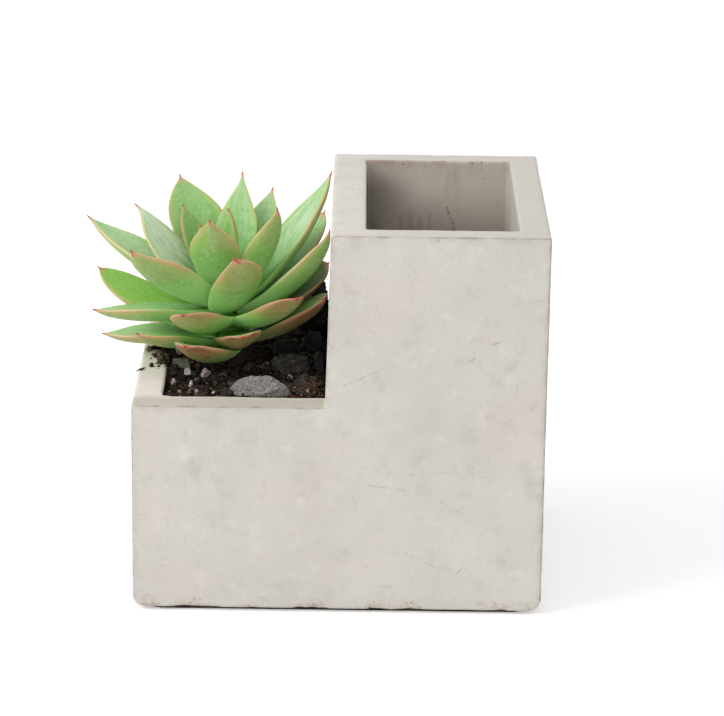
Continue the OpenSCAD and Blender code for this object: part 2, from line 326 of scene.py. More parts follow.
def noiseAt(p, size, octaves=3, shift=0.0):
    places = (Vector((q[0] / size + shift, q[1] / size - shift, q[2] / size)) for q in p)
    return np.array([noise.fractal(place, 1.0, 2.0, octaves) for place in places])


# outer skin of the solid cells of a crowded grid, drawn onto the rounded surface, then worn
def castingMesh():
    c = casting
    xs = crowdedLines([c[k] for k in ("left", "plantLeft", "tower", "holderLeft", "holderRight", "right")])
    deeps = [c[k] for k in ("plantDeep", "holderDeep", "deep")]
    ys = crowdedLines([-d for d in deeps[::-1]] + deeps)
    zs = crowdedLines([c[k] for k in ("under", "floor", "rim", "top")])
    mids = [(a[1:] + a[:-1]) / 2 for a in (xs, ys, zs)]
    centres = np.stack(np.meshgrid(*mids, indexing="ij"), -1).reshape(-1, 3)
    solid = (castingDepth(centres, True) < 0).reshape([len(m) for m in mids])
    padded = np.pad(solid, 1)
    shape = (len(xs), len(ys), len(zs))
    quads = []
    for axis in range(3):
        keep = [slice(1, -1)] * 3
        keep[axis] = slice(None)
        step = np.diff(padded.astype(np.int8), axis=axis)[tuple(keep)]
        one, two = [np.eye(3, dtype=int)[(axis + k) % 3] for k in (1, 2)]
        for sign in (1, -1):
            corner = np.argwhere(step == sign)
            ring = [corner, corner + two, corner + one + two, corner + one][::sign]
            quads.append(np.stack([np.ravel_multi_index(r.T, shape) for r in ring], 1))
    used, quads = np.unique(np.concatenate(quads), return_inverse=True)
    quads = quads.reshape(-1, 4)
    i, j, k = np.unravel_index(used, shape)
    p = np.stack([xs[i], ys[j], zs[k]], 1)
    lean = between(p[:, 0], c["holderLeft"], c["tower"]) * (p[:, 0] >= c["tower"])
    p[:, 0] += (towerFace(p[:, 2]) - c["tower"]) * lean
    near = 0.01
    for turn in range(c["turns"]):
        depth = castingDepth(p)
        steps = np.eye(3) * near
        slope = np.stack([(castingDepth(p + h) - castingDepth(p - h)) / (2 * near) for h in steps], 1)
        slope /= np.maximum(np.linalg.norm(slope, axis=1), 0.3)[:, None]
        p = p - slope * np.clip(depth, -1, 1)[:, None]
    foot = np.clip(p[:, 2] - c["under"], 0, None)
    outside = (np.abs(p[:, 0]) > c["right"] - 1) | (np.abs(p[:, 1]) > c["deep"] - 1) | (foot < 0.5)
    chips, crumbs = noiseAt(p, c["chipSize"], 4, 7.0), noiseAt(p, c["crumbSize"], 2, 3.0)
    wear = np.exp(-distanceToEdges(p) / c["wearReach"])
    depth = c["wave"] * noiseAt(p, c["waveSize"], 2)
    depth = depth + wear * c["edgeWear"] * np.clip(0.25 + chips + 0.4 * crumbs, 0, None)
    bite = np.clip(chips * 1.9 + 0.5 * crumbs + 0.15, 0, 1.3)
    depth = depth + c["bottomChip"] * np.exp(-foot / c["chipReach"]) * wear * outside * bite
    p = p - slope * depth[:, None]
    p[:, 2] = np.maximum(p[:, 2], c["under"] + 0.02)
    return p, quads, castingValues(p, wear, foot, outside, bite)


# where the material changes, point by point
def castingValues(p, wear, foot, outside, bite):
    c = casting
    x, y, z = p.T
    below = c["top"] - z
    wells = [(x > left - lip) & (x < right + lip) & (np.abs(y) < deep + lip) & (z > c["floor"] / 2)
             for left, right, deep, lip in ((c["holderLeft"], c["holderRight"], c["holderDeep"], 0.4),
                                            (c["plantLeft"], c["tower"], c["plantDeep"], 0.5))]
    inHolder, inPlant = wells
    onLow = (x < c["tower"] - 0.3) & (z > c["rim"] - 0.5)
    frontShare = between(y, *c["frontRim"])
    # painted shade in the holder: full on the left wall, fading along the back wall beside it and with
    # depth, weaker on the floor
    shade = 0.65 * between(x, c["holderLeft"] + c["beside"], c["holderLeft"])
    shade = np.maximum(shade, 0.45 * between(below, *c["beneath"]))
    shade = np.where(x < c["holderLeft"] + 0.3, 1, shade) * np.where(z > c["floor"] + 0.5, 1, 0.4)
    return {
        "edgeWear": wear * (z > c["under"] + 3) * (np.abs(y) > c["deep"] - 1.2),
        "hollow": inHolder * between(below, *c["hollow"]),
        "shadedWall": inHolder * between(below, *c["shadedWall"]) * shade,
        "lipStain": inHolder * (y > c["holderDeep"] - 1.7) * np.exp(-below / c["lipStain"]),
        "chipped": np.clip(np.exp(-foot / c["chipped"]) * outside * (0.3 + bite), 0, 1),
        # painted shade on the low rim's front strip, tinted by painted green light from the plant
        "lowRim": onLow * frontShare,
        # painted shade on the tower's top rim, fading in from its left side
        "towerRim": (z > c["top"] - 0.4) * between(x, *c["towerRim"]),
        # painted light on the left rim, lifting the shade that the leaves cast there
        "leftRim": onLow * between(x, c["plantLeft"] + c["leftRim"], c["plantLeft"]) * (1 - frontShare),
        # plant well's walls darker from just below the rim down to the soil
        "soiled": inPlant * between(c["rim"] - z, *c["soiled"]),
    }


# concrete cast in a smooth mould: light warm grey with pink and green clouds, pinholes, short scuffs,
# rubbed dark edges and a foot crumbled down to brown sand
concrete = {
    "clouds": [(0.34, "#cfcbc4"), (0.66, "#dad6ce")], "roughness": (0.74, 0.92), "relief": (0.28, 0.12),
    # noise: grain in mm, detail and roughness
    "patterns": {"cloud": (34, 4, 0.6), "grain": (0.8, 4, 0.7), "pit": (2.2, 4, 0.7), "bend": (6, 3, 0.5),
                 "wobble": (2.5, 3, 0.5), "gaps": (1.1, 4, 0.5)},
    "surface": {"IOR": 1.5, "Specular IOR Level": 0.3}, "holeDeep": -2.5, "pitDeep": 1.6,
    "skin": [("#dbcfca", 46, 0.46, 0.66, 0.55, 0), ("#d1d3c6", 38, 0.48, 0.68, 0.45, 0),
             ("#b9b3aa", 9, 0.50, 0.80, 0.45, 0), ("#e6e2da", 5.4, 0.54, 0.76, 0.50, 0),
             ("#b4aca2", 2.6, 0.58, 0.80, 0.42, 0), ("#a0978c", 0.8, 0.54, 0.80, 0.42, 0)],
    # coats where the mesh says so: attribute, where it starts and is full, coats
    "places": [
        # low rim's front darker and greener: painted shade of the plant, with painted green light reflected
        # from the leaves
        ("lowRim", 0, 1, [("#bdb8a9", 20, 0.30, 0.60, 0.85, 0.60)]),
        # left rim paler: painted light
        ("leftRim", 0, 1, [("#f1e8e0", 12, 0.30, 0.60, 0.85, 0.60)]),
        # tower's top rim darker: painted shade
        ("towerRim", 0, 1, [("#cac6be", 12, 0.30, 0.60, 0.75, 0.45)]),
        ("edgeWear", 0.04, 0.40, [("#bfb7ab", 4, 0.40, 0.64, 0.60, 0.12)]),
        ("edgeWear", 0.50, 0.86, [("#a3978a", 7, 0.34, 0.60, 0.80, 0.35),
                                  ("#6f6055", 4, 0.47, 0.62, 0.85, 0.05)]),
        ("chipped", 0.15, 0.75, [("#c4b7a6", 2.4, 0.42, 0.62, 0.80, 0.10),
                                 ("#85735f", 0.9, 0.52, 0.64, 0.80, 0)]),
        ("hollow", 0, 0.5, [("#cfc6ba", 9, 0.30, 0.62, 0.90, 0.75), ("#a39587", 7, 0.55, 0.76, 0.40, 0),
                            ("#86715f", 1.3, 0.64, 0.78, 0.40, 0)]),
        ("lipStain", 0.05, 0.85, [("#a58b79", 6, 0.34, 0.66, 0.80, 0.10),
                                  ("#59412f", 1.1, 0.58, 0.68, 0.75, 0)]),
        # painted shade: dark grey-brown on the holder's left wall and deeper walls
        ("shadedWall", 0, 1, [("#4a413b", 8, 0.20, 0.70, 0.95, 0.82)]),
        # plant well's walls darker below the rim
        ("soiled", 0, 1, [("#2b2521", 2.2, 0.25, 0.55, 1.0, 0.80)]),
    ],
    "drawnOut": {"hollow": (1, 1, 0.3), "shadedWall": (1, 1, 0.3)},  # patterns that run upwards
    # pinholes and wider holes: spacing in mm, radius as a share of it, share of cells left without
    "hole": "#8b8379", "holes": [(4.2, 0.075, 0.76), (16, 0.045, 0.68)],
    # single scuffs on the front, then bug holes and stains on the holder's back wall:
    # both ends (x, z, x, z), half width and strength
    "bend": 1.2, "widest": 0.6, "marks": [
        {"y": -47.5, "colour": "#a39b91", "soft": 2.2, "lines": [
            (1, 70, 14, 76, 0.24, 0.60), (15, 76.5, 34, 83, 0.12, 0.35), (34, 76, 39, 79, 0.26, 0.60),
            (44, 83, 46.5, 84.5, 0.36, 0.90), (50.5, 83, 51.5, 80.5, 0.20, 0.65),
            (53, 86, 53, 81, 0.14, 0.55), (51.5, 80.5, 53, 81, 0.14, 0.50), (50, 98, 58, 96, 0.12, 0.45),
            (8, 40, 19.5, 38.5, 0.34, 0.60), (15, 43, 43, 44.5, 0.14, 0.50),
            (29, 35.5, 37.5, 31, 0.22, 0.50), (17.5, 20, 28, 15, 0.30, 0.50), (28, 15, 33, 14, 0.26, 0.45),
            (35, 12.5, 37, 15, 0.34, 0.60), (50, 22, 50, 19.5, 0.16, 0.65),
            (12, 8.5, 15.5, 8.5, 0.50, 0.45), (-43, 29, -35.5, 31, 0.14, 0.65),
            (51, 71.5, 51.2, 68.5, 0.30, 0.50), (-35.6, 46.5, -35.2, 46.5, 0.34, 1.0),
            (27.3, 114, 27.8, 114, 0.3, 0.9)]},
        {"y": 39.7, "colour": "#65503f", "soft": 2.8, "lines": [
            (32.3, 100, 34, 95, 0.26, 0.75), (34, 95, 34.8, 90.5, 0.48, 0.90),
            (18, 97, 18.4, 90, 0.8, 0.22), (21, 99, 21.2, 90, 0.9, 0.25), (23.8, 96, 24, 90, 0.8, 0.22),
            (27, 98, 27, 90, 0.6, 0.20), (39, 111.3, 39.3, 111, 0.2, 0.60),
            (43.5, 109.6, 43.7, 109.5, 0.24, 0.90)]},
    ],
}


def concreteMaterial():
    c = concrete
    material, add, place = newMaterial("castConcreteMatt")
    pattern = {}
    for name, (grain, detail, rough) in c["patterns"].items():
        settings = {"grain": grain, "Detail": detail, "Roughness": rough}
        pattern[name] = add("TexNoise", settings, {"Vector": place})
    colour = add("ValToRGB", {"ramp": c["clouds"]}, {0: pattern["cloud"]})
    colour = addCoats(add, place, colour, c["skin"])

    # pinholes and a few wider holes left by air in the mix
    holes = None
    for spacing, radius, without in c["holes"]:
        cells = add("TexVoronoi", {"grain": spacing}, {"Vector": place}).outputs
        chosen = add("Math GREATER_THAN", {1: without}, {0: cells["Color"]})
        hole = add("MapRange", {"range": (radius, radius / 2)},
                   {"Value": cells["Distance"], "To Max": chosen})
        holes = add("Math MAXIMUM", links={0: holes, 1: hole}) if holes else hole
    colour = add("Mix", {"over": c["hole"]}, {0: holes, 6: colour})

    # low rim front darker and greener, tower top rim darker, holder walls darker: painted shade; left rim
    # lighter: painted light; rubbed edges, crumbled foot, stained holder, plant well walls darker below the
    # rim
    for name, start, full, coats in c["places"]:
        value = add("Attribute", {"attribute_name": name}).outputs["Fac"]
        mask = add("MapRange", {"range": (start, full)}, {"Value": value})
        colour = addCoats(add, place, colour, coats, mask, c["drawnOut"].get(name, (1, 1, 1)))

    # single marks, bent and broken up by noise: the distance to a short line
    bent = add("VectorMath MULTIPLY_ADD", {1: (c["bend"] * mm,) * 3},
               {0: pattern["bend"].outputs["Color"], 2: place})
    middle = Vector((c["bend"] / 2,) * 3) * mm
    broken = add("MapRange", {"range": (0.40, 0.60, 0.10)}, {"Value": pattern["gaps"]})
    for mark in c["marks"]:
        for x, z, farX, farZ, half, strength in mark["lines"]:
            start = Vector((x, mark["y"], z)) * mm
            along = Vector((farX, mark["y"], farZ)) * mm - start
            offset = add("VectorMath SUBTRACT", {1: start + middle}, {0: bent})
            unit = along / along.length_squared
            share = add("VectorMath DOT_PRODUCT", {1: unit}, {0: offset})
            share = add("Math ADD", {1: 0.0, "use_clamp": True}, {0: share})
            foot = add("VectorMath SCALE", {0: along}, {"Scale": share})
            gap = add("VectorMath DISTANCE", links={0: offset, 1: foot})
            gap = add("Math MULTIPLY_ADD", {1: half * 2.4 * mm}, {0: pattern["wobble"], 2: gap})
            reach = ((half * mark["soft"] + 0.16) * mm, half * 1.1 * mm, 0, strength)
            share = add("MapRange", {"smooth": reach}, {"Value": gap})
            if half < c["widest"]:  # wider ones stay whole
                share = add("Math MULTIPLY", links={0: share, 1: broken})
            colour = add("Mix", {"over": mark["colour"]}, {0: share, 6: colour})

    # relief: pits and holes a few tenths deep, grain finer than the mesh can hold
    height = add("Math MULTIPLY_ADD", {1: c["holeDeep"]}, {0: holes, 2: pattern["grain"]})
    height = add("Math MULTIPLY_ADD", {1: c["pitDeep"]}, {0: pattern["pit"], 2: height})
    addSurface(add, c["surface"], colour, pattern["pit"], c["roughness"], height, c["relief"])
    return material


castConcrete = concreteMaterial()
points, quads, values = castingMesh()
newPiece("concreteCasting", points, quads.tolist(), castConcrete, values=values,
         replaces=["planter_body"])
print("casting made", len(points))

# leaves of the rosette, from the lowest ring to the heart

rootLow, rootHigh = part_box("root_ball")
rosette = {
    "length": 52.0, "width": 17.0, "thick": 4.4, "gap": 0.3, "inner": 0.9,
    "stemTall": 30.0, "stemLow": 5.0, "stemTop": 1.6, "stemLean": 12.0,
    "foot": ((rootLow.x + rootHigh.x) / 2 / mm, (rootLow.y + rootHigh.y) / 2 / mm, rootHigh.z / mm),
    "upper": 0.3, "cup": 0.2, "keel": 0.22, "thickest": 0.4, "hookFrom": 0.86, "hookTall": 1.6,
    "spine": 0.026, "spineHalf": 0.42, "wander": 0.2, "wanderSize": 9, "rings": 54, "around": 40,
    # single leaves: one fuller shoulder, a tip swayed aside in mm, a broader root than half the width
    "lopsided": {19: 0.45}, "sway": {19: -2.2, 24: 2.9, 25: 1.8, 28: -1.3, 30: 0.6},
    "rootWide": {1: 0.55, 4: 0.60, 9: 0.85, 11: 0.85, 18: 0.65, 19: 0.75},
    # heading, lift, length, width, seat on the stem, half bend and roll; then how the eye sees the leaf:
    # width gain, place of the widest part, fullness, bluntness, blush (above 1 also painted shade), bloom
    # (above 1 painted light), hook of the tip
    "leaves": [
        (247, 19, 0.60, 0.82, 0.20, 18, 0, 1.12, 0.58, 2.2, 0.70, 1.06, 0.0, -0.8),
        (212, 12, 0.57, 0.69, 0.27, 7, 8, 1.10, 0.56, 2.0, 0.95, 0.60, 0.3, 0.3),
        (173, -3, 0.695, 0.70, 0.30, 1, 0, 1.10, 0.56, 1.9, 1.00, 0.62, 0.5, 0.2),
        (279, 17, 0.50, 0.82, 0.36, 18, 8, 1.00, 0.60, 2.4, 0.70, 1.08, 0.0, -0.8),
        (335, 31, 0.61, 0.86, 0.30, 9, 8, 1.05, 0.66, 3.0, 0.60, 1.36, 0.0, 0.4),
        (70, 7, 0.50, 0.80, 0.20, 6, 0, 1.05, 0.56, 1.9, 1.00, 0.70, 0.5, 0.2),
        (104, 4, 0.72, 0.77, 0.31, 6, 0, 1.05, 0.56, 1.9, 1.00, 0.70, 0.5, 0.2),
        (138, 5, 0.62, 0.77, 0.18, 5, 0, 1.05, 0.56, 1.9, 1.00, 0.70, 0.5, 0.2),
        (249, 20, 0.62, 0.82, 0.50, 20, 13, 1.05, 0.60, 2.4, 0.70, 0.65, 0.2, -0.8),
        (190, 2, 0.72, 0.72, 0.575, 4, 8, 1.10, 0.56, 1.9, 1.00, 0.35, 0.5, 0.2),
        (311, 26.5, 0.615, 0.77, 0.50, 18, -4, 1.05, 0.64, 2.8, 0.65, 0.75, 0.1, -0.6),
        (10, 34, 0.61, 0.90, 0.43, 12, 10, 1.10, 0.62, 2.6, 0.55, 1.40, 0.0, 0.3),
        (42, 38, 0.84, 0.82, 0.48, 8, 0, 1.05, 0.60, 2.6, 0.72, 0.60, 0.6, 0.2),
        (74, 21, 0.78, 0.82, 0.40, 8, 0, 1.00, 0.56, 1.9, 1.00, 0.45, 0.6, 0.2),
        (104, 26, 0.81, 0.82, 0.50, 8, 0, 1.00, 0.56, 1.9, 1.00, 0.45, 0.6, 0.2),
        (131, 14, 0.81, 0.82, 0.375, 6, 0, 1.00, 0.56, 1.9, 1.00, 0.45, 0.6, 0.2),
        (167, 22, 0.79, 0.72, 0.39, 17, -19, 1.10, 0.56, 2.3, 0.72, 0.30, 0.0, 0.3),
        (220, 34, 0.74, 0.94, 0.67, 8, 18, 1.10, 0.56, 2.1, 0.95, 0.45, 0.4, 0.3),
        (284, 45, 0.56, 0.95, 0.63, 18, 10, 0.98, 0.50, 2.2, 0.58, 0.56, 0.3, 0.9),
        (345, 43.5, 0.765, 0.72, 0.58, 23, -13, 1.00, 0.58, 2.0, 0.95, 0.25, 0.5, 0.4),
        (25, 50, 0.935, 0.88, 0.65, 14, 0, 1.00, 0.54, 1.7, 1.10, 0.20, 0.85, 0.1),
        (65.5, 48, 0.79, 0.80, 0.58, 8, 0, 1.00, 0.56, 1.8, 1.10, 0.20, 0.6, 0.1),
        (156, 26.5, 0.945, 0.78, 0.62, 4, 0, 1.10, 0.54, 1.8, 1.10, 0.30, 0.7, 0.2),
        (113.5, 48, 0.81, 1.00, 0.68, 8, 0, 1.05, 0.58, 2.2, 1.00, 0.15, 0.35, 0.3),
        (75, 53, 0.725, 0.76, 0.78, 8, 0, 1.00, 0.50, 1.7, 1.35, 0.15, 0.55, 0.2),
        # this leaf's bloom of 1.6 is painted light: it faces away from the lamp
        (165, 49, 0.68, 0.56, 0.73, 20, -25, 1.20, 0.54, 1.8, 1.15, 0.25, 1.6, -1.2),
        (330, 62, 0.65, 0.80, 0.73, 12, -6, 1.00, 0.56, 2.0, 0.95, 0.40, 0.4, 0.4),
        (263, 64, 0.545, 0.90, 0.80, 14, 0, 1.00, 0.54, 2.0, 1.02, 0.44, 0.3, 0.4),
        (144, 62, 0.48, 0.66, 0.85, 8, 0, 1.00, 0.54, 1.9, 1.00, 1.12, 0.0, 0.2),
        (35, 90, 0.42, 0.42, 0.88, 6, 0, 1.05, 0.50, 1.8, 1.05, 0.45, 0.1, 0.2),
        (320, 74, 0.20, 0.40, 0.88, 6, 0, 1.00, 0.54, 1.9, 1.00, 0.20, 0.4, 0.2),
        (214, 77, 0.32, 0.28, 0.95, 6, 0, 1.00, 0.54, 1.8, 1.00, 0.20, 0.4, 0.2),
    ],
}


def leafMesh(row, number):
    r = rosette
    heading, lift, length, width, seat, bend, roll, gain, widest, full, blunt, blush, bloom, hook = row
    rootWide, sway = r["rootWide"].get(number, 0.5), r["sway"].get(number, 0)
    h, half, long = math.radians(heading), r["width"] * width / 2, r["length"] * length
    out, side = np.array([math.cos(h), math.sin(h), 0]), np.array([-math.sin(h), math.cos(h), 0])
    lean = math.radians(r["stemLean"])
    stem = np.array([-math.sin(lean), 0, math.cos(lean)]) * r["stemTall"] * seat
    start, turnBy = math.radians(lift - bend), math.radians(2 * bend)
    reach = r["stemLow"] + (r["stemTop"] - r["stemLow"]) * seat + r["gap"]
    reach += r["inner"] * max(0, math.sin(start))
    arc = long / (2 * math.sin(math.radians(bend)))

    # middle line on its arc, the tip hooked up and swayed aside
    u = 1 - (1 - np.linspace(0, 1, r["rings"])) ** 1.5
    here = start + turnBy * u
    mid = np.array(r["foot"]) + stem + out * reach + np.outer(arc * (np.sin(here) - math.sin(start)), out)
    mid[:, 2] += arc * (math.cos(start) - np.cos(here))
    square = np.outer(-np.sin(here), out) + np.outer(np.cos(here), [0, 0, 1])
    spare = between(u, r["hookFrom"], 1)
    mid += square * (hook * r["hookTall"] * spare ** 2)[:, None] + side * (sway * u ** 2.5)[:, None]
    tilt = math.radians(roll)
    across = side * math.cos(tilt) + square * math.sin(tilt)
    up = square * math.cos(tilt) - side * math.sin(tilt)

    # outline: broad root, widest part, then a full or slender end that runs out in a short spine
    end, thickest = 1 - r["spine"], r["thickest"]
    swell = np.sin(between(u, 0, widest) * math.pi / 2)
    outline = np.where(u < widest, rootWide + (1 - rootWide) * swell,
                       (1 - between(u, widest, end) ** full) ** blunt)
    spine = r["spineHalf"] * np.sqrt(np.clip((1 - u) / (r["spine"] * 2.2), 0, 1))
    wide = np.cbrt((half * gain * outline) ** 3 + spine ** 3)
    swell = np.sin(between(u, 0, thickest) * math.pi / 2)
    body = np.where(u < thickest, 0.7 + 0.3 * swell, (1 - between(u, thickest, end) ** 2.4) ** 0.75)
    plump = r["thick"] * (0.72 + 0.28 * width) * min(1, 0.55 + 0.6 * length)
    deep = np.cbrt((plump * body) ** 3 + (spine * 1.6) ** 3)

    # section: flat above, keeled below, margins turned up
    turn = np.arange(r["around"]) * 2 * math.pi / r["around"]
    s, c = np.sin(turn), np.cos(turn)
    keel = 1 + r["keel"] * np.outer(between(u, 0.45, 0.85), np.exp(-(c / 0.3) ** 2)) * (s < 0)
    rise = np.where(s > 0, r["upper"], 1 - r["upper"]) * s * deep[:, None] * keel
    cup = r["cup"] * (0.55 + 0.75 * np.sin(u * math.pi))
    rise = rise + (cup * wide)[:, None] * c ** 2
    fuller = r["lopsided"].get(number, 0) * between(u, 0.2, 0.95) ** 1.5
    aside = wide[:, None] * (c + fuller[:, None])
    points = mid[:, None] + across[:, None] * aside[..., None] + up[:, None] * rise[..., None]
    points = points.reshape(-1, 3)
    wander = np.array([noise.noise_vector(Vector(q / r["wanderSize"] + number)) for q in points])
    points = points + wander * (r["wander"] * np.repeat(1 - spare, r["around"]))[:, None]

    # the last ring closes in one point
    n, rings = r["around"], r["rings"]
    last = (rings - 1) * n
    faces = ringFaces(rings - 1, n)
    faces += [(last - n + k, last - n + (k + 1) % n, last) for k in range(n)]
    faces.append(tuple(range(n))[::-1])
    points = np.concatenate([points[:last], points[last:].mean(0)[None]])
    values = {"along": np.repeat(u, n), "across": np.tile(c, rings), "upper": np.tile(s * 0.5 + 0.5, rings)}
    values = {key: numbers[:last + 1] for key, numbers in values.items()}
    for key, level in (("blush", blush), ("bloom", bloom), ("own", number)):
        values[key] = np.full(last + 1, float(level))
    return points, faces, values


# waxy succulent leaf: fresh green skin under a streaky pale bloom, olive outer faces that blush brown-red
# on the old leaves, warm soft margins, a thin cream line round the young upright leaves, short red spines
# some coats are painted shade and painted light, each marked at its coat
leafSkin = {
    "body": [(0.05, "#86cf58"), (0.40, "#84c45e"), (0.9, "#98c574")], "patchShare": 0.24,
    "patterns": {"patch": (9, 0.6), "fleck": (3.2, 0.65), "fine": (1.5, 0.7), "cell": (1.1, 0.6),
                 "streak": (1.2, 0.6)},  # grain in mm, roughness
    "streakRoom": (6.5, 5.0, 3.0), "spots": 3.4, "tipCurve": 0.006,
    "roughness": (0.42, 0.60), "relief": (0.16, 0.1),
    "surface": {"IOR": 1.42, "Specular IOR Level": 0.40, "Subsurface Weight": 0.25,
                "Subsurface Scale": 1.8 * mm, "Subsurface Radius": (1.0, 1.0, 0.35),
                "Coat Weight": 0.04, "Coat Roughness": 0.4},
    "colours": {
        "deep": "#5c9a38", "outer": "#80a850", "pale": "#d0efab", "paintedMarginGlow": "#b3cf70", "bloom": "#c9e0bf",
        "paintedLightBloom": "#eaf6df", "fresh": "#a9d95c", "powder": "#bfd8ad", "shade": "#5f8f45", "paintedLeafShade": "#3b331e",
        "blush": "#a8764e", "rust": "#8f5240", "warm": "#d29c7d", "line": "#e3dfb4", "pink": "#d79a86",
        "red": "#b23a35", "speck": "#54672f"},
    # coats from the skin outwards: colour, then the bands that are multiplied for its share
    # (which value, where it starts, where it is full, least, most)
    "coats": [
        # deeper green on the upper faces towards the base: partly the leaves' own colour, partly painted
        # shade of the heart
        ("deep", [("upper", 0.45, 0.60, 0, 0.75), ("along", 0.85, 0.25, 0, 1)]),
        ("outer", [("upper", 0.56, 0.42, 0, 0.40), ("along", 0.3, 0.7, 0, 1)]),
        # paler outer faces towards the base: painted light lifting the shade at the leaf bases
        ("pale", [("upper", 0.56, 0.42, 0, 1), ("along", 0.65, 0.10, 0, 1)]),
        ("bloom", [("upper", 0.40, 0.60, 0.30, 1), ("bloom", 0, 1.6, 0, 1.6), ("patch", 0.28, 0.66, 0.5, 1),
                   ("streak", 0.30, 0.62, 0.30, 1), ("along", 0.15, 0.65, 0.1, 1)]),
        ("fresh", [("bloom", 0.12, 0.0, 0, 0.55), ("blush", 0.7, 0.4, 0, 1), ("upper", 0.45, 0.60, 0, 1),
                   ("along", 0.10, 0.45, 0, 1)]),
        ("powder", [("fine", 0.48, 0.72, 0, 0.50), ("along", 0.10, 0.50, 0.3, 1)]),
        ("shade", [("fine", 0.46, 0.28, 0, 0.45), ("along", 0.10, 0.50, 0.3, 1)]),
        # whiter bloom only where bloom is above 1: painted light on a leaf turned away from the lamp
        ("paintedLightBloom", [("bloom", 1.0, 1.6, 0, 0.55), ("along", 0.15, 0.50, 0, 1),
                   ("streak", 0.30, 0.60, 0.4, 1)]),
        # yellow-green margins: painted light shining through the thin leaf edges
        ("paintedMarginGlow", [("edge", 0.55, 0.95, 0, 0.5), ("along", 0.2, 0.7, 0, 1)]),
        ("blush", [("upper", 0.56, 0.40, 0, 1), ("blush", 0, 1, 0, 1), ("growth", 0.45, 0.95, 0, 1),
                   ("edge", 0.0, 0.9, 0.55, 1)]),
        ("rust", [("upper", 0.56, 0.40, 0, 1), ("blush", 0.5, 1.15, 0, 1), ("growth", 0.20, 0.85, 0, 1),
                  ("fleck", 0.40, 0.70, 0.15, 0.85)]),
        ("rust", [("upper", 0.56, 0.40, 0, 1), ("blush", 1.0, 1.2, 0, 0.5)]),
        # dark olive-brown on leaves with blush above 1, stronger on their outer faces: painted shade of
        # leaves lying in shade
        ("paintedLeafShade", [("blush", 1.0, 1.6, 0, 0.9), ("upper", 0.70, 0.45, 1, 0.6), ("along", 0, 0.3, 0.5, 1)]),
        ("warm", [("edge", 0.87, 1.0, 0, 0.8), ("growth", 0.30, 0.85, 0, 1),
                  ("streak", 0.25, 0.5, 0.5, 1)]),
        ("line", [("edge", 0.97, 1.0, 0, 0.65), ("bloom", 0.3, 0.6, 0, 1), ("along", 0.2, 0.55, 0.2, 1)]),
        ("pink", [("tip", 0.905, 0.98, 0, 0.75)]),
        ("red", [("tip", 0.952, 0.987, 0, 1)]),
        ("red", [("edge", 0.42, 0.12, 0, 1), ("upper", 0.40, 0.15, 0, 1), ("along", 0.925, 0.96, 0, 0.8)]),
        ("speck", [("spot", 0.08, 0.04, 0, 1), ("pick", 0.74, 0.78, 0, 0.5)]),
    ],
}


def leafMaterial():
    k = leafSkin
    material, add, place = newMaterial("waxySucculentLeaf")
    value = {name: add("Attribute", {"attribute_name": name}).outputs["Fac"]
             for name in ("along", "across", "upper", "blush", "bloom", "own")}
    lengthwise = add("CombineXYZ", links={0: value["across"], 1: value["along"], 2: value["own"]})
    room = Vector(k["streakRoom"]) * mm
    lengthwise = add("VectorMath MULTIPLY", {1: room}, {0: lengthwise})
    for name, (grain, rough) in k["patterns"].items():
        value[name] = add("TexNoise", {"grain": grain, "Detail": 4, "Roughness": rough},
                          {"Vector": lengthwise if name == "streak" else place})
    value["edge"] = add("Math ABSOLUTE", links={0: value["across"]})
    half = k["patchShare"] / 2
    drift = add("MapRange", {"range": (0.3, 0.7, -half, half)}, {"Value": value["patch"]})
    value["growth"] = add("Math ADD", links={0: value["along"], 1: drift})
    value["tip"] = add("Math MULTIPLY_ADD", {1: k["tipCurve"]},
                       {0: value["edge"], 2: value["along"]})
    cells = add("TexVoronoi", {"grain": k["spots"]}, {"Vector": place}).outputs
    value["spot"], value["pick"] = cells["Distance"], cells["Color"]
    colour = add("ValToRGB", {"ramp": k["body"]}, {0: value["growth"]})
    for name, bands in k["coats"]:
        share = None
        for which, *reach in bands:
            band = add("MapRange", {"smooth": reach}, {"Value": value[which]})
            share = add("Math MULTIPLY", links={0: share, 1: band}) if share else band
        colour = add("Mix", {"over": k["colours"][name]}, {0: share, 6: colour})
    addSurface(add, k["surface"], colour, value["streak"], k["roughness"], value["cell"], k["relief"])
    return material


waxyLeaf = leafMaterial()
for number, row in enumerate(rosette["leaves"], 1):
    points, faces, values = leafMesh(row, number)
    newPiece(f"leafBlade{number:02d}", points, faces, waxyLeaf, values=values,
             replaces=[f"leaf_{number:02d}"])
print("leaves made", len(rosette["leaves"]))

# rough natural materials: a ramp over noise or over each lump's own tone, coats, specks and relief
# specks: colour, spacing in mm, radius share, share of cells left without, strength
# relief: grain and depth in mm

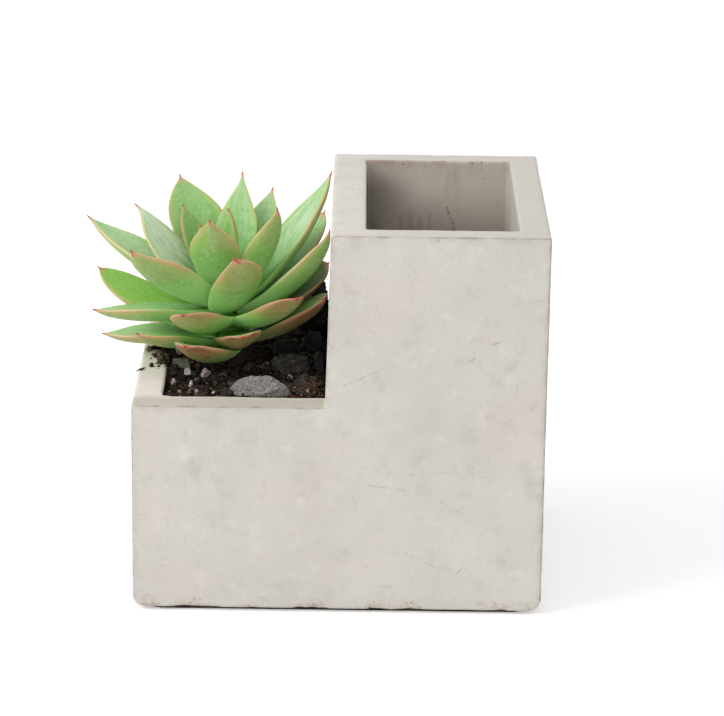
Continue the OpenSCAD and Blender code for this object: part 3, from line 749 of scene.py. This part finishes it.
grit = {
    # peat potting mix: near-black damp crumbs, darkened further as painted shade under the plant, brown
    # where they dry, a little rust
    "peatPottingMix": {
        "ramp": [(0.38, "#0a0908"), (0.60, "#1c1715"), (0.80, "#43372f"), (1.0, "#8a6f62")], "grain": 1.2,
        "tone": 0.5, "coats": [("#4d3d35", 2.4, 0.60, 0.78, 0.40, 0)],
        "specks": [("#8d7a6e", 1.1, 0.14, 0.90, 0.5)], "roughness": (0.75, 0.95), "gloss": 0.25,
        "relief": (0.5, 0.12), "slot": "potting_mix"},
    # expanded perlite: chalky white grains stained by the peat
    "whitePerlite": {
        "ramp": [(0.3, "#6f5a52"), (0.6, "#ad9890"), (0.95, "#e6dcd6")], "grain": 0.9, "tone": 0.6,
        "coats": [("#6f544a", 1.1, 0.52, 0.70, 0.65, 0), ("#3f302b", 0.6, 0.58, 0.68, 0.70, 0)],
        "roughness": (0.8, 0.95), "gloss": 0.2, "relief": (0.3, 0.08), "slot": "gravel"},
    # shredded bark fines: rusty orange flakes, dark where wet
    "shreddedBark": {
        "ramp": [(0.25, "#3a2820"), (0.5, "#6b432d"), (0.75, "#9a623f"), (0.95, "#c08a5e")], "grain": 0.8,
        "tone": 0.7, "coats": [("#3a2a22", 1.3, 0.55, 0.72, 0.6, 0)], "roughness": (0.7, 0.9),
        "gloss": 0.3, "relief": (0.35, 0.08), "slot": "bark"},
    # dark lump of old bark: cracked brown-black, rusty in the breaks
    "oldBark": {
        "ramp": [(0.3, "#2c2623"), (0.55, "#463c37"), (0.8, "#5e4f46")], "grain": 2.2,
        "coats": [("#9a6140", 1.6, 0.60, 0.72, 0.7, 0), ("#1d1917", 0.9, 0.56, 0.70, 0.6, 0)],
        "roughness": (0.75, 0.95), "gloss": 0.25, "relief": (0.6, 0.2), "slot": "bark"},
    # split slate: grey beds, paler on the broken edges: dusty, and a painted highlight
    "splitSlate": {
        "ramp": [(0.3, "#272524"), (0.52, "#3d3a38"), (0.8, "#716c67"), (1.0, "#948d86")], "grain": 2.4,
        "tone": 0.30, "coats": [("#7d7873", 1.2, 0.58, 0.78, 0.4, 0), ("#4d4138", 4, 0.58, 0.76, 0.35, 0)],
        "specks": [("#8b8681", 0.9, 0.14, 0.84, 0.45)], "roughness": (0.6, 0.85), "gloss": 0.35,
        "relief": (0.6, 0.14), "slot": "slate"},
    # slate in the shade: beds painted near-black as shade, dull grey edges with painted highlight, a few
    # grains of dust
    "dampSlate": {
        "ramp": [(0.3, "#0f0f0f"), (0.55, "#1b1a1a"), (0.85, "#353332"), (1.0, "#4d4a48")], "grain": 2.4,
        "tone": 0.15, "coats": [("#3a3735", 1.4, 0.60, 0.80, 0.4, 0), ("#2c231e", 4, 0.56, 0.76, 0.4, 0)],
        "specks": [("#7d7873", 1.4, 0.12, 0.90, 0.5)], "roughness": (0.5, 0.8), "gloss": 0.35,
        "relief": (0.6, 0.14), "slot": "slate"},
    # dusty slate flake: mid grey, powdered with soil
    "dustySlate": {
        "ramp": [(0.3, "#5c5a53"), (0.55, "#7b7970"), (0.85, "#9b988f")], "grain": 2.6,
        "coats": [("#4a423b", 1.6, 0.56, 0.74, 0.6, 0)], "specks": [("#b3afa8", 0.9, 0.14, 0.84, 0.45)],
        "roughness": (0.65, 0.9), "gloss": 0.3, "relief": (0.6, 0.14), "slot": "slate"},
    # fine granite: pale grey, salt and pepper speckled
    "speckledGranite": {
        "ramp": [(0.3, "#767370"), (0.55, "#888582"), (0.8, "#9a9794")], "grain": 3.0, "tone": 0.12,
        "coats": [("#565351", 0.65, 0.52, 0.62, 0.85, 0), ("#bdbab6", 0.65, 0.57, 0.68, 0.75, 0),
                  ("#6a584d", 5, 0.60, 0.78, 0.30, 0)],
        "specks": [("#403d3b", 0.7, 0.26, 0.62, 0.85), ("#c4c1bd", 0.9, 0.22, 0.72, 0.7)],
        "roughness": (0.7, 0.92), "gloss": 0.3, "relief": (0.45, 0.12), "slot": "pale_granite"},
    # closed-cell foam pad: matt, near black, paler in patches, with fine cells
    "blackCellFoam": {
        "ramp": [(0.40, "#231f1d"), (0.62, "#5f5750")], "grain": 14,
        "coats": [("#4a4641", 7, 0.60, 0.80, 0.4, 0)], "specks": [("#0e0d0d", 0.5, 0.3, 0.5, 0.7)],
        "roughness": (0.85, 0.98), "gloss": 0.2, "relief": (0.4, 0.1)},
    # washed gravel: mixed grey and tan pebbles
    "washedGravel": {
        "ramp": [(0.3, "#5d5850"), (0.5, "#827b70"), (0.75, "#a59c8e")], "grain": 4.0,
        "coats": [("#4c463f", 6, 0.55, 0.75, 0.6, 0)], "specks": [("#c2bbae", 3.0, 0.3, 0.6, 0.6)],
        "roughness": (0.6, 0.9), "gloss": 0.35, "relief": (3.0, 0.8)},
    # matted roots: pale tan threads in dark peat
    "mattedRoots": {
        "ramp": [(0.35, "#2c221c"), (0.55, "#59432f"), (0.75, "#a08764")], "grain": 1.2, "tone": 0.4,
        "coats": [("#c5b18d", 0.7, 0.60, 0.70, 0.7, 0)], "roughness": (0.75, 0.95), "gloss": 0.25,
        "relief": (0.7, 0.3), "slot": "roots"},
    # short green stem: fresh skin at the heart, corky brown at the foot and near-black there as painted
    # shade under the leaves
    "corkyGreenStem": {
        # the foot's near-black is partly corky bark, partly painted shade
        "foot": ("#1b1512", 67, 73),  # colour, and the heights where it is full and gone
        "ramp": [(0.3, "#6f9a40"), (0.55, "#87b255"), (0.8, "#a3c573")], "grain": 3.0,
        "coats": [("#8f9a58", 2.2, 0.56, 0.74, 0.5, 0)], "specks": [("#6d6238", 2.6, 0.18, 0.8, 0.5)],
        "roughness": (0.5, 0.75), "gloss": 0.4, "relief": (1.2, 0.2)},
}


def gritMaterial(name):
    m = grit[name]
    material, add, place = newMaterial(name)
    pattern = add("TexNoise", {"grain": m["grain"], "Detail": 5, "Roughness": 0.65}, {"Vector": place})
    tone = add("Attribute", {"attribute_name": "tone"}).outputs["Fac"]
    toned = add("Math MULTIPLY_ADD", {1: m.get("tone", 0)}, {0: tone, 2: pattern})
    colour = add("ValToRGB", {"ramp": m["ramp"]}, {0: toned})
    colour = addCoats(add, place, colour, m["coats"])
    for dot, spacing, radius, without, strength in m.get("specks", ()):
        cells = add("TexVoronoi", {"grain": spacing}, {"Vector": place}).outputs
        picked = (without, without + 0.02, 0, strength)
        chosen = add("MapRange", {"range": picked}, {"Value": cells["Color"]})
        speck = add("MapRange", {"range": (radius * 1.4, radius)},
                    {"Value": cells["Distance"], "To Max": chosen})
        colour = add("Mix", {"over": dot}, {0: speck, 6: colour})
    if "foot" in m:
        dark, low, high = m["foot"]
        height = add("SeparateXYZ", links={0: place}).outputs["Z"]
        share = add("MapRange", {"range": (high * mm, low * mm)}, {"Value": height})
        colour = add("Mix", {"over": dark}, {0: share, 6: colour})
    grain, depth = m["relief"]
    relief = add("TexNoise", {"grain": grain, "Detail": 4, "Roughness": 0.6}, {"Vector": place})
    surface = {"IOR": 1.5, "Specular IOR Level": m["gloss"]}
    addSurface(add, surface, colour, pattern, m["roughness"], relief, (0.6, depth))
    return material


finish = {name: gritMaterial(name) for name in grit}
for node, kind in (("base_pad", "blackCellFoam"), ("drainage_gravel", "washedGravel"),
                   ("root_ball", "mattedRoots"), ("plant_stem", "corkyGreenStem")):
    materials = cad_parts[node].data.materials
    materials.clear()
    materials.append(finish[kind])
print("rough materials made", len(finish))


# a piece in a rough material, with the tone of each point
def gritPiece(name, points, faces, kind, tone, smooth=False, replaces=()):
    newPiece(name, points, faces, finish[kind], smooth, {"tone": tone}, replaces)


# potting soil: a closed block with a clodded top, mounded round the stem and banked up on the left

soil = {
    "left": -51.4, "right": -4.2, "deep": 38.1, "under": 21.0, "level": 60.6, "step": 0.5,
    "mound": 1.2, "moundWide": 14.0, "hummock": 13.0, "hummockTall": 0.8, "clod": 3.0, "clodTall": 1.1,
    # the left bank and a little rise front right: height, then where it starts and is full in x and in y
    "banks": [(2.1, (-42, -49), (-24, -15)), (0.8, (-20, -10), (-22, -30))],
}


def soilHeight(x, y):
    s = soil
    x, y = np.broadcast_arrays(np.asarray(x, float), np.asarray(y, float))
    away = (x - rosette["foot"][0]) ** 2 + (y - rosette["foot"][1]) ** 2
    high = s["level"] + s["mound"] * np.exp(-away / (2 * s["moundWide"] ** 2))
    for tall, alongX, alongY in s["banks"]:
        high = high + tall * between(x, *alongX) * between(y, *alongY)
    rough = [s["hummockTall"] * noise.fractal(Vector((a, b, 0)) / s["hummock"], 1.0, 2.0, 2)
             + s["clodTall"] * noise.fractal(Vector((a, b, 40)) / s["clod"], 0.8, 2.0, 3)
             for a, b in zip(x.ravel(), y.ravel())]
    return high + np.reshape(rough, x.shape)


def soilMesh():
    s = soil
    xs = np.linspace(s["left"], s["right"], round((s["right"] - s["left"]) / s["step"]) + 1)
    ys = np.linspace(-s["deep"], s["deep"], round(2 * s["deep"] / s["step"]) + 1)
    x, y = np.meshgrid(xs, ys, indexing="ij")
    top = np.stack([x, y, soilHeight(x, y)], -1).reshape(-1, 3)
    index = np.arange(x.size).reshape(x.shape)
    faces = np.stack([index[:-1, :-1], index[1:, :-1], index[1:, 1:], index[:-1, 1:]], -1)
    faces = faces.reshape(-1, 4).tolist()
    rim = np.concatenate([index[:-1, 0], index[-1, :-1], index[:0:-1, -1], index[0, :0:-1]])
    low = top[rim].copy()
    low[:, 2] = s["under"]
    n, first = len(rim), len(top)
    faces += [[int(rim[k]), first + k, first + (k + 1) % n, int(rim[(k + 1) % n])] for k in range(n)]
    faces.append([first + k for k in range(n)][::-1])
    points = np.concatenate([top, low])
    return points, faces, np.clip(0.14 + 0.25 * noiseAt(points, 4, 2), 0, 1)


points, faces, tone = soilMesh()
gritPiece("pottingSoil", points, faces, "peatPottingMix", tone, True, ["potting_soil"])
print("soil made", len(points))

# stones on the soil: balls cut by planes (heading, lift, share of the radius kept), fitted to their solids

stones = {
    "bury": 1.6, "grown": {"tallSlateChip": (1.2, 0, 0), "flatChip": (0, 0, 0.8)},  # mm past their solids
    # piece, node, finish, fineness, roughness in mm, share by which beds end further in or out, cuts
    "shapes": [
        ("paleStone", "pale_stone", "speckledGranite", 6, 0.42, 0.0, [
            (268, 52, 0.50), (180, 40, 0.62), (205, 8, 0.80), (150, 55, 0.70), (350, 40, 0.62),
            (335, 12, 0.78), (90, 70, 0.58), (90, 20, 0.70), (300, 5, 0.86), (240, 10, 0.84),
            (35, 20, 0.50)]),
        ("wideSlateChip", "wide_slate_chip", "splitSlate", 6, 0.40, 0.09, [
            (270, 15, 0.55), (255, 75, 0.50), (180, 10, 0.75), (215, 30, 0.74), (10, 5, 0.70),
            (325, 25, 0.72), (90, 10, 0.70), (60, 40, 0.70), (130, 35, 0.72)]),
        ("uprightSlateChip", "upright_slate_chip", "dampSlate", 5, 0.18, 0.06, [
            (180, 5, 0.55), (0, 5, 0.55), (270, 25, 0.62), (90, 30, 0.66), (200, 60, 0.70),
            (290, 55, 0.66)]),
        ("darkSlateChip", "dark_slate_chip", "dampSlate", 5, 0.22, 0.08, [
            (275, 30, 0.50), (190, 15, 0.66), (20, 25, 0.66), (90, 40, 0.60), (230, 65, 0.62),
            (320, 20, 0.74)]),
        ("cornerSlateChip", "corner_slate_chip", "dampSlate", 5, 0.22, 0.08, [
            (255, 20, 0.55), (170, 30, 0.60), (0, 10, 0.70), (100, 35, 0.62), (300, 55, 0.60),
            (215, 5, 0.78)]),
        # the tall chip fills the dark back corner by the tower, in the near-black painted-shade slate
        ("tallSlateChip", "tall_slate_chip", "dampSlate", 6, 0.35, 0.07, [
            (260, 8, 0.62), (175, 12, 0.66), (5, 4, 0.72), (95, 10, 0.66), (310, 52, 0.86),
            (200, 55, 0.74), (225, 5, 0.80)]),
        ("barkLump", "bark_lump", "oldBark", 6, 1.0, 0.05, [
            (265, 30, 0.66), (180, 35, 0.70), (0, 20, 0.74), (90, 45, 0.66), (320, 60, 0.70)]),
        ("flatChip", "flat_chip", "dustySlate", 5, 0.25, 0.05, [
            (265, 80, 0.35), (180, 10, 0.72), (0, 15, 0.70), (270, 20, 0.66), (90, 15, 0.66),
            (225, 10, 0.78)]),
    ],
}


def ballMesh(fine):
    ball = bmesh.new()
    bmesh.ops.create_icosphere(ball, subdivisions=fine, radius=1)
    points = np.array([v.co for v in ball.verts])
    faces = np.array([[v.index for v in f.verts] for f in ball.faces])
    ball.free()
    return points, faces


def stoneMesh(name, node, number, fine, rough, beds, cuts):
    p, faces = ballMesh(fine)
    planes = []
    for heading, lift, kept in cuts:
        h, e = math.radians(heading), math.radians(lift)
        plane = np.array([math.cos(h) * math.cos(e), math.sin(h) * math.cos(e), math.sin(e)])
        p = p - np.outer(np.clip(p @ plane - kept, 0, None), plane)
        planes.append((plane, kept))

    # paler where two faces meet: worn, and painted highlight on the edges; thin beds that end further in or
    # out
    near = sum(np.exp(-((p @ plane - kept) / 0.035) ** 2) for plane, kept in planes)
    worn = np.clip(near - 0.9, 0, 1) * np.clip(0.5 + 1.5 * noiseAt(p, 0.35, 3, number), 0, 1)
    bed = np.floor(p[:, 2] * 5 + 0.8 * noiseAt(p, 0.9, 2, number))
    p[:, :2] *= 1 + beds * np.array([noise.noise(Vector((b * 1.7, number, 0.5))) for b in bed])[:, None]
    low, high = (np.array(corner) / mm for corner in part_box(node))
    low[2] -= stones["bury"]
    high += stones["grown"].get(name, (0, 0, 0))
    p = (p - p.min(0)) / (p.max(0) - p.min(0)) * (high - low) + low
    bumps = np.array([noise.noise_vector(Vector(q / 2.2 + number))
                      + 0.6 * noise.noise_vector(Vector(q / 0.8))
                      + 0.35 * noise.noise_vector(Vector(q / 0.35)) for q in p])
    return np.clip(p + bumps * rough, None, high + 0.3), faces.tolist(), worn


stoneSkin = {}
for number, (name, node, kind, *form) in enumerate(stones["shapes"], 1):
    stoneSkin[name], faces, worn = stoneMesh(name, node, number, *form)
    gritPiece(name, stoneSkin[name], faces, kind, worn, replaces=[node])
print("stones made", len(stones["shapes"]))

# loose bits on the soil and on the left rim: each kind is one mesh of many small cut lumps

looseBits = {
    "seed": 11, "sink": 0.25, "margin": 0.8, "turn": 6.28, "lumpRough": 0.22, "seated": 0.4,
    # finish, count, size range in mm, shape (length, width, height), steepest tilt, tone range, fineness
    "kinds": {
        "soilCrumbs": ("peatPottingMix", 1500, (0.5, 2.4), (1.1, 0.95, 0.8), 180, (0.0, 0.85), 2),
        "soilClods": ("peatPottingMix", 400, (1.5, 4.6), (1.1, 0.95, 0.75), 180, (0.0, 0.6), 3),
        "perliteGrains": ("whitePerlite", 34, (0.5, 1.3), (1.1, 0.9, 0.8), 180, (0.0, 0.6), 3),
        "barkFines": ("shreddedBark", 230, (0.9, 2.8), (1.3, 0.6, 0.3), 35, (0.0, 0.7), 2),
        "perliteLumps": ("whitePerlite", 0, None, (0.9, 0.9, 1.2), 60, (0.15, 0.55), 4),
        "rimCrumbs": ("peatPottingMix", 150, (0.35, 2.6), (1.1, 0.95, 0.7), 180, (0.0, 0.9), 3),
        "lumpFlakes": ("shreddedBark", 70, (0.6, 2.0), (1.6, 0.5, 0.3), 60, (0.0, 0.7), 2),
        "chipCrumbs": ("peatPottingMix", 70, (0.5, 2.0), (1.1, 0.95, 0.8), 180, (0.0, 0.4), 2),
        "chipPerlite": ("whitePerlite", 34, (0.5, 1.4), (1.1, 0.9, 0.8), 180, (0.4, 0.6), 3),
    },
    # caught on a stone
    "caught": {"lumpFlakes": "barkLump", "chipCrumbs": "tallSlateChip", "chipPerlite": "tallSlateChip"},
    # larger grains of perlite where they stand out: x, y and size
    "lumps": [
        (-40, -13.5, 3.5), (-45.5, -14.5, 2.5), (-49.3, -21.5, 1.7), (-43.9, -22, 2.2), (-33, -28, 2.3),
        (-37, -28, 1.6), (-42, -27, 1.8), (-49, 1, 2.0), (-15, -14.5, 2.0), (-8, -20.5, 2.2),
        (-11, -19, 2.0), (-47.5, -27, 1.6), (-29, -24, 1.5)],
    # half of the bark fines lie along the front, and half of those in the right corner: where, how widely
    "finesFront": -31, "finesSpread": 2.5, "cornerSpread": 6,
    # spilt on the left rim, thickest beside the well: spread and end in x; middle, spread and ends in y
    "spiltX": (2.4, -58.4), "spiltY": (-1.5, 6.5, -16, 14),
}


def lumpsMesh(name, places, rng, sizes, shape, tilt, tones, fine):
    b = looseBits
    ball, tris = ballMesh(fine)
    tilt = math.radians(tilt)
    placed = name == "perliteLumps"
    points, faces, tone = [], [], []
    for n, place in enumerate(places):
        p = ball.copy()
        for cut in rng.normal(size=(6, 3)):
            cut = cut / np.linalg.norm(cut)
            p = p - np.outer(np.clip(p @ cut - rng.uniform(0.4, 0.8), 0, None), cut)
        p = p * np.array(shape) * rng.uniform(0.75, 1.25, 3)
        if placed:
            p = p + b["lumpRough"] * np.array([noise.noise_vector(Vector(q * 2.6 + n)) for q in p])
        turn = Matrix.Rotation(rng.uniform(0, b["turn"]), 3, "Z")
        turn = turn @ Matrix.Rotation(rng.uniform(-tilt, tilt), 3, "X")
        size = b["lumps"][n][2] if placed else sizes[0] + (sizes[1] - sizes[0]) * rng.random() ** 2.6
        p = p @ np.array(turn).T * size / 2
        p[:, 2] += -p[:, 2].min() - b["sink"] * size
        points.append(p + place)
        faces.append(tris + n * len(ball))
        tone.append(np.full(len(ball), rng.uniform(*tones)))
    return np.concatenate(points), np.concatenate(faces).tolist(), np.concatenate(tone)


def scatterBits():
    b = looseBits
    rng = np.random.default_rng(b["seed"])
    left, right = soil["left"] + b["margin"], soil["right"] - b["margin"]
    front = -soil["deep"] + b["margin"]
    for name, (kind, count, *form) in b["kinds"].items():
        x, y = rng.uniform(left, right, count), rng.uniform(front, -front, count)
        if name == "barkFines":
            half = count // 2
            y[:half] = b["finesFront"] + np.abs(rng.normal(0, b["finesSpread"], half))
            x[:half // 2] = right - np.abs(rng.normal(0, b["cornerSpread"], half // 2))
        if name == "perliteLumps":
            x, y = np.array(b["lumps"], float).T[:2]
        places = np.stack([x, y, soilHeight(x, y)], 1)
        if name == "rimCrumbs":
            (spread, end), (middle, spreadY, *ends) = b["spiltX"], b["spiltY"]
            x = np.clip(casting["plantLeft"] - 0.1 - np.abs(rng.normal(0, spread, count)), end, None)
            y = np.clip(rng.normal(middle, spreadY, count), *ends)
            places = np.stack([x, y, np.full_like(x, casting["rim"])], 1)
        if name in b["caught"]:
            skin = stoneSkin[b["caught"][name]]
            places = rng.permutation(skin[skin[:, 2] > soil["level"] + 2])[:count] - (0, 0, b["seated"])
        points, faces, tone = lumpsMesh(name, places, rng, *form)
        gritPiece(name, points, faces, kind, tone)
    return rng


rng = scatterBits()

# thin roots on the soil and a dry twig on the left rim, as bent tapering tubes

fibres = {
    "count": 46, "length": (3.0, 9.0), "radius": (0.10, 0.22), "steps": 9, "around": 6, "tones": (0.0, 0.6),
    "inset": 4, "deep": 34, "margin": 0.6, "wander": 0.35, "turn": 6.28, "taper": 0.7, "twigRadius": 0.28,
    "twig": [(-60.5, -17.0, 63.75), (-59.6, -15.4, 63.95), (-58.9, -14.6, 63.8), (-57.9, -13.0, 63.9)],
}


def tubeMesh(path, radius, rng):
    path = np.asarray(path, float)
    n, last = fibres["around"], len(path) - 1
    points = []
    for j, (middle, way) in enumerate(zip(path, np.gradient(path, axis=0))):
        way = Vector(way).normalized()
        one = way.orthogonal().normalized()
        two = way.cross(one)
        r = radius * (1 - fibres["taper"] * abs(2 * j / last - 1) ** 3) * rng.uniform(0.8, 1.2)
        for k in range(n):
            turn = 2 * math.pi * k / n
            points.append(middle + (np.array(one) * math.cos(turn) + np.array(two) * math.sin(turn)) * r)
    ends = [tuple(range(n))[::-1], tuple(range(last * n, last * n + n))]
    return np.array(points), ringFaces(len(path), n) + ends


def makeFibres(rng):
    f, s = fibres, soil
    points, faces, tones, first = [], [], [], 0
    for number in range(f["count"]):
        x = rng.uniform(s["left"] + f["inset"], s["right"] - f["inset"])
        y = rng.uniform(-f["deep"], f["deep"])
        heading, step = rng.uniform(0, f["turn"]), rng.uniform(*f["length"]) / f["steps"]
        path = []
        for k in range(f["steps"]):
            x = min(max(x, s["left"] + f["margin"]), s["right"] - f["margin"])
            y = min(max(y, -s["deep"] + f["margin"]), s["deep"] - f["margin"])
            path.append((x, y))
            heading += rng.normal(0, f["wander"])
            x, y = x + step * math.cos(heading), y + step * math.sin(heading)
        path = np.array(path)
        lift = 0.35 + 0.5 * np.sin(np.linspace(0, math.pi, f["steps"])) * rng.uniform(0, 1)
        path = np.column_stack([path, soilHeight(path[:, 0], path[:, 1]) + lift])
        p, q = tubeMesh(path, rng.uniform(*f["radius"]), rng)
        points.append(p)
        faces += [tuple(i + first for i in face) for face in q]
        tones.append(np.full(len(p), rng.uniform(*f["tones"])))
        first += len(p)
    gritPiece("fineRoots", np.concatenate(points), faces, "mattedRoots", np.concatenate(tones), True)
    p, q = tubeMesh(f["twig"], f["twigRadius"], rng)
    gritPiece("dryTwig", p, q, "oldBark", np.zeros(len(p)), True)


makeFibres(rng)
print("loose bits made")
